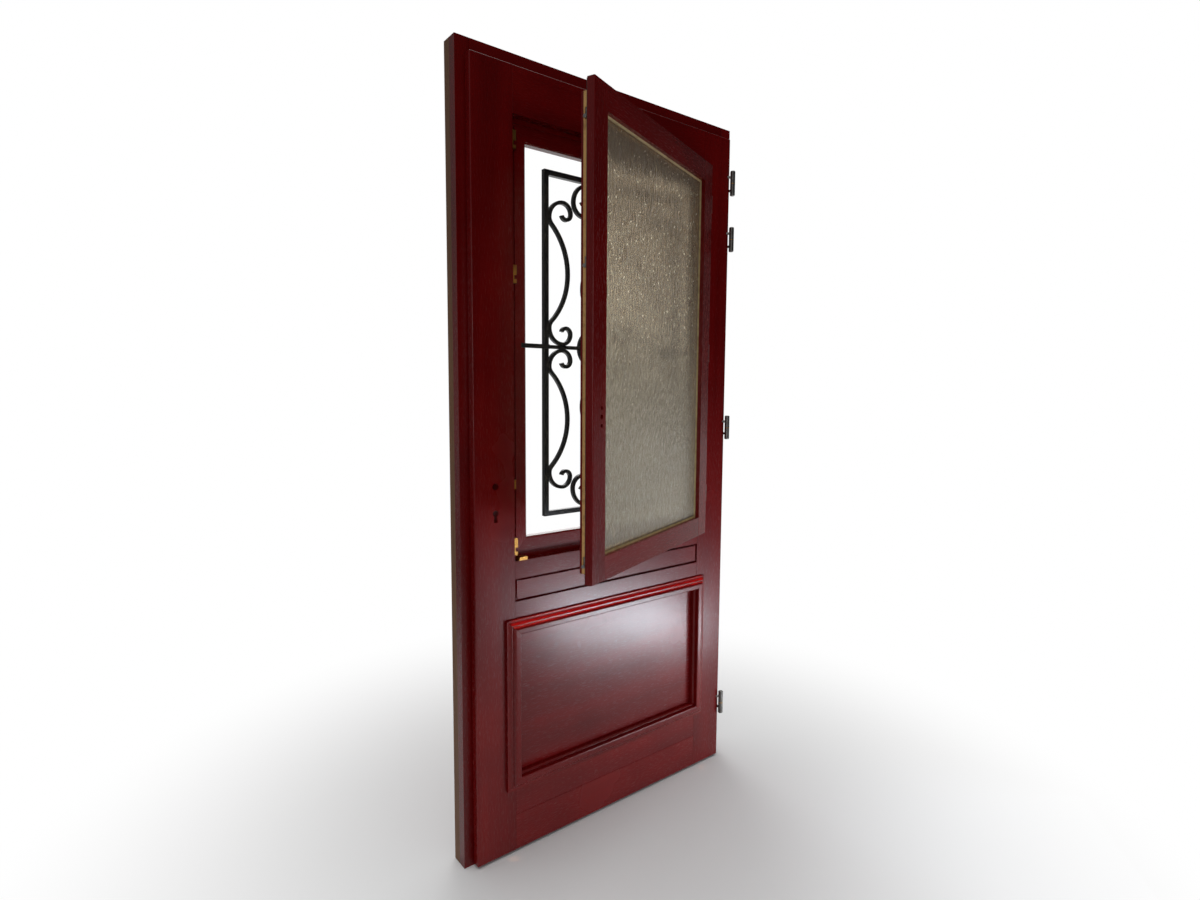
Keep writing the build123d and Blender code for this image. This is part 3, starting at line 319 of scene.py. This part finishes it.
for number, node in enumerate(upright + level):
    grain = "Z" if node in upright else "X"
    dress(node, woodMaterial(node + "Wood", grain, shift=0.37 * number + 0.1,
                             rawBack=node == "lock_jamb"))
for number, node in enumerate(casementUpright + casementLevel):
    grain = "Z" if node in casementUpright else "X"
    dress(node, woodMaterial(node + "Wood", grain, casementTurn, 0.53 * number + 9.0))
for kind, nodes in metalNodes.items():
    material = metalMaterial(kind + "Metal", kind)
    for node in nodes:
        dress(node, material)
dress("inner_pane", glassMaterial("rainGlass", True))
dress("outer_pane", glassMaterial("clearGlass", False))
rubber = {"colour": (0.035, 0.022, 0.018), "dust": (0.06, 0.045, 0.04), "rough": 0.55}
sealMaterial = plainMaterial("sealRubber", rubber["colour"], rubber["dust"], rubber["rough"])
for node in ("frame_seal", "casement_seal"):
    dress(node, sealMaterial)
print("materials set")


def meshPiece(name, vertices, faces, material, body):
    mesh = bpy.data.meshes.new(name)
    mesh.from_pydata([tuple(v) for v in vertices], [], [tuple(f) for f in faces])
    mesh.materials.append(material)
    piece = bpy.data.objects.new(name, mesh)
    bpy.context.collection.objects.link(piece)
    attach(piece, body)
    return piece


# Closed ring: each section point (inwards, proud) is offset round a rectangle and joined
# to its neighbours, one quad per side and section edge
def sweptRing(section, width, height, middleZ, levelY):
    section = np.asarray(section, float)
    corners = np.array([(-1, -1), (1, -1), (1, 1), (-1, 1)], float)
    half = np.array([width, height]) / 2
    points = []
    for inwards, proud in section:
        flat = corners * (half - inwards)
        points.append(np.column_stack([flat[:, 0], np.full(4, levelY - proud),
                                       flat[:, 1] + middleZ]))
    vertices = np.vstack(points)
    count = len(section)
    faces = []
    for i in range(count):
        j = (i + 1) % count
        for k in range(4):
            m = (k + 1) % 4
            faces.append((i * 4 + k, i * 4 + m, j * 4 + m, j * 4 + k))
    return vertices, faces


# Points drawn for the shut casement, turned with it to where it stands open
def turned(vertices):
    spin = np.array(Matrix.Rotation(casementTurn, 3, "Z"))
    axis = np.array(casementAxis)
    return (np.asarray(vertices) - axis) @ spin.T + axis


# Sealant between the casement's wood and the textured pane
sealant = {"width": 0.0045, "proud": 0.0035, "glassY": -0.062, "halfWidth": 0.300,
           "bottom": 0.882, "top": 1.939, "colour": (0.44, 0.33, 0.15), "dirt": (0.30, 0.21, 0.09)}


def sealantRing():
    w, p = sealant["width"], sealant["proud"]
    section = [(0, 0), (0, p), (w * 0.45, p * 0.42), (w, 0.0002), (w, 0)]
    height = sealant["top"] - sealant["bottom"]
    vertices, faces = sweptRing(section, 2 * sealant["halfWidth"], height,
                                sealant["bottom"] + height / 2, sealant["glassY"])
    material = plainMaterial("sealantPaste", sealant["colour"], sealant["dirt"], 0.5)
    return meshPiece("glazing_sealant", turned(vertices), faces, material, "casement")


sealantRing()
print("added pieces set")

# The white background is seen by every camera and transmitted ray, and by glossy rays that
# leave towards the side behind the door


def whiteFor(tree, behind):
    path = tree.nodes.new("ShaderNodeLightPath")
    camera, glossy, through = (Value(tree, path.outputs["Is " + kind + " Ray"])
                               for kind in ("Camera", "Glossy", "Transmission"))
    return camera.math("MAXIMUM", through).math("MAXIMUM", glossy * behind)


# Stage: pale floor, white beyond it
paint = {"near": (0.80, 0.80, 0.80), "far": (0.14, 0.14, 0.15), "rough": 0.9}
floorSize = {"side": 60.0, "level": -0.0005}
bpy.ops.mesh.primitive_plane_add(size=floorSize["side"], location=(0, 0, floorSize["level"]))
floor = bpy.context.object
floor.name = "floor"
floorShading = Shading("floorPaint")
floorPlace = floorShading.place()
far = floorShading.node("ShaderNodeVectorMath", "Value", {0: floorPlace}, operation="LENGTH")
floorMaterial = floorShading.finish(
    Base_Color=floorShading.mix(far.smooth(1.3, 3.2), paint["near"], paint["far"]),
    Roughness=paint["rough"])
floorTree = floorShading.tree
white = floorTree.nodes.new("ShaderNodeEmission")
blend = floorTree.nodes.new("ShaderNodeMixShader")
behind = ((floorShading.axis(floorPlace, "X") * 0.61
           + floorShading.axis(floorPlace, "Y") * 0.78) / far).smooth(0.35, 0.8)
floorTree.links.new((far.smooth(0.45, 1.7) * whiteFor(floorTree, behind)).socket, blend.inputs[0])
floorTree.links.new(floorShading.bsdf.outputs[0], blend.inputs[1])
floorTree.links.new(white.outputs[0], blend.inputs[2])
floorTree.links.new(blend.outputs[0], floorTree.nodes["Material Output"].inputs["Surface"])
floor.data.materials.append(floorMaterial)

world = bpy.data.worlds.new("room")
bpy.context.scene.world = world
world.use_nodes = True
tree = world.node_tree
back = tree.nodes["Background"]
coordinates = tree.nodes.new("ShaderNodeTexCoord")
split = tree.nodes.new("ShaderNodeSeparateXYZ")
tree.links.new(coordinates.outputs["Generated"], split.inputs[0])
x, y, z = (Value(tree, split.outputs[letter]) for letter in "XYZ")
# Dim room: light overhead and from the left, near black towards its far right corner
room = {"left": 0.20, "corner": 0.010, "overhead": 1.9}
glow = (x * 0.75 - y * 0.65).smooth(0.0, 0.8) * (room["corner"] - room["left"]) + room["left"]
glow = glow + z.smooth(0.72, 0.97) * room["overhead"]
white = whiteFor(tree, (x * 0.61 + y * 0.78).smooth(0.6, 0.9))
tree.links.new((glow * (1.0 - white) + white).socket, back.inputs["Strength"])
back.inputs["Color"].default_value = (1.0, 1.0, 1.0, 1.0)


# Each lamp: place, point it faces, size, watts, colour and spread in radians
lamps = {
    "windowLamp": ((-2.3, -2.9, 1.5), (0, 0, 1.0), (0.26, 1.4), 16.0, (1.0, 1.0, 1.0), math.pi),
    "sunPatch": ((0.95, -1.17, 0.065), (0.10, -0.05, 0.55), (0.72, 0.22), 4.1,
                 (0.84, 0.91, 1.0), 1.5),
    "sunGlow": ((1.86, -1.85, 0.02), (1.86, -1.85, 1.0), (1.30, 1.9), 12.5, (0.88, 0.90, 1.0), math.pi),
    "backLamp": ((1.5, 3.0, 2.4), (0, 0, 1.1), (2.0, 2.0), 30.0, (1.0, 1.0, 1.0), math.pi),
    "mouldingWash": ((0.0, -0.0655, 0.79), (0.0, -0.0655, 0.0), (0.74, 0.013), 0.13,
                     (1.0, 0.46, 0.24), 0.06),
}


def areaLamp(name, location, target, size, power, colour, spread):
    data = bpy.data.lights.new(name, "AREA")
    data.shape = "RECTANGLE"
    data.size, data.size_y = size
    data.energy = power
    data.color = colour
    data.spread = spread
    lamp = bpy.data.objects.new(name, data)
    bpy.context.collection.objects.link(lamp)
    lamp.location = location
    aim = Vector(target) - Vector(location)
    lamp.rotation_euler = aim.to_track_quat("-Z", "Y").to_euler()
    lamp.visible_camera = False
    return lamp


hung = {name: areaLamp(name, *values) for name, values in lamps.items()}
# The warm light on the crest of the panel's upper moulding swings with the leaf
hung["mouldingWash"].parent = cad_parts["inside_moulding_top"]

# The camera stands where the photograph was taken
photo = {"place": (-1.2705, -1.594, 1.296), "forward": (0.6148, 0.7835, -0.0911),
         "up": (0.0513, 0.0755, 0.9958), "lens": 20.19}
cameraData = bpy.data.cameras.new("camera")
cameraData.sensor_fit = "HORIZONTAL"
cameraData.sensor_width = 36.0
cameraData.lens = photo["lens"]
cameraData.clip_start = 0.02
camera = bpy.data.objects.new("camera", cameraData)
bpy.context.collection.objects.link(camera)
forward = Vector(photo["forward"]).normalized()
right = forward.cross(Vector(photo["up"])).normalized()
up = right.cross(forward)
turn = Matrix((right, up, -forward)).transposed().to_4x4()
camera.matrix_world = Matrix.Translation(photo["place"]) @ turn
bpy.context.scene.camera = camera
bpy.context.scene.view_settings.view_transform = "Standard"
print("stage, lamps and camera set")
